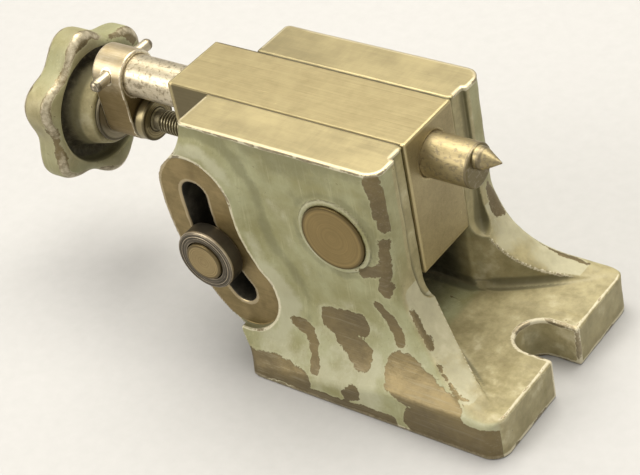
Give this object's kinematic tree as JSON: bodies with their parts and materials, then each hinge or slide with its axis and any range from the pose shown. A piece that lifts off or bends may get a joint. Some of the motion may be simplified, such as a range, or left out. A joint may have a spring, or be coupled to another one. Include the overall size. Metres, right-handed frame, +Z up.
{
  "type": "dividing head tailstock",
  "caption": "Cast tailstock for a dividing head: tilting centre block between two cheeks, offset centre point, star-knob feed screw, arc slot with clamp bolt, open slots in the foot.",
  "frame": {"origin": "middle of the base in plan, on the underside of the base", "axes": "+X along the quill toward the centre point, +Y away from the side with the round clamp ring, +Z up"},
  "size_m": [0.2499, 0.1067, 0.1115],
  "materials": {
    "green_painted_casting": "worn sage green paint over cast iron, chipped",
    "machined_iron": "ground and scraped, slightly tarnished",
    "ground_steel": "ground bright",
    "machined_steel": "turned, tarnished brown",
    "dark_steel": "blackened, oily",
    "bronze": "turned bronze"
  },
  "bodies": {
    "base": {"body": "green_painted_casting", "pivot_pin": "machined_steel", "pivot_washer": "machined_steel", "pivot_nut": "dark_steel"},
    "block": {"centre_block": "machined_iron", "feed_bush": "bronze", "clamp_bolt": "machined_steel", "clamp_ring": "dark_steel"},
    "quill_group": {"quill": "ground_steel", "yoke": "machined_steel", "cross_pin": "ground_steel"},
    "screw_group": {"feed_screw": "dark_steel", "thrust_collar": "machined_steel", "collar_pin": "ground_steel", "thrust_washer": "machined_steel", "star_knob": "green_painted_casting", "knob_key": "dark_steel", "knob_washer": "machined_steel", "knob_nut": "dark_steel"},
    "clamp_washer_body": {"clamp_washer": "machined_steel"},
    "clamp_nut_body": {"clamp_nut": "dark_steel"}
  },
  "joints": [
    {"name": "block_tilt", "type": "hinge", "parent": "base", "child": "block", "pos_m": [-0.0125, 0, 0.0765], "axis": [0, 1, 0], "range_deg": [-14, 20]},
    {"name": "quill_feed", "type": "slide", "parent": "block", "child": "quill_group", "axis": [1, 0, 0], "range_m": [-0.012, 0.026]},
    {"name": "feed_turn", "type": "hinge", "parent": "quill_group", "child": "screw_group", "pos_m": [-0.15, 0, 0.0755], "axis": [1, 0, 0], "range_deg": [-2880, 6240]},
    {"name": "clamp_release", "type": "slide", "parent": "block", "child": "clamp_washer_body", "axis": [0, 1, 0], "range_m": [0, 0.00175]},
    {"name": "clamp_turn", "type": "hinge", "parent": "clamp_washer_body", "child": "clamp_nut_body", "pos_m": [-0.07391, 0.046, 0.05231], "axis": [0, 1, 0], "range_deg": [0, 360]}
  ],
  "couplings": [
    {"joint": "feed_turn", "follows": "quill_feed", "rad_per_m": 4188.8},
    {"joint": "clamp_turn", "follows": "clamp_release", "rad_per_m": 3590.4}
  ]
}
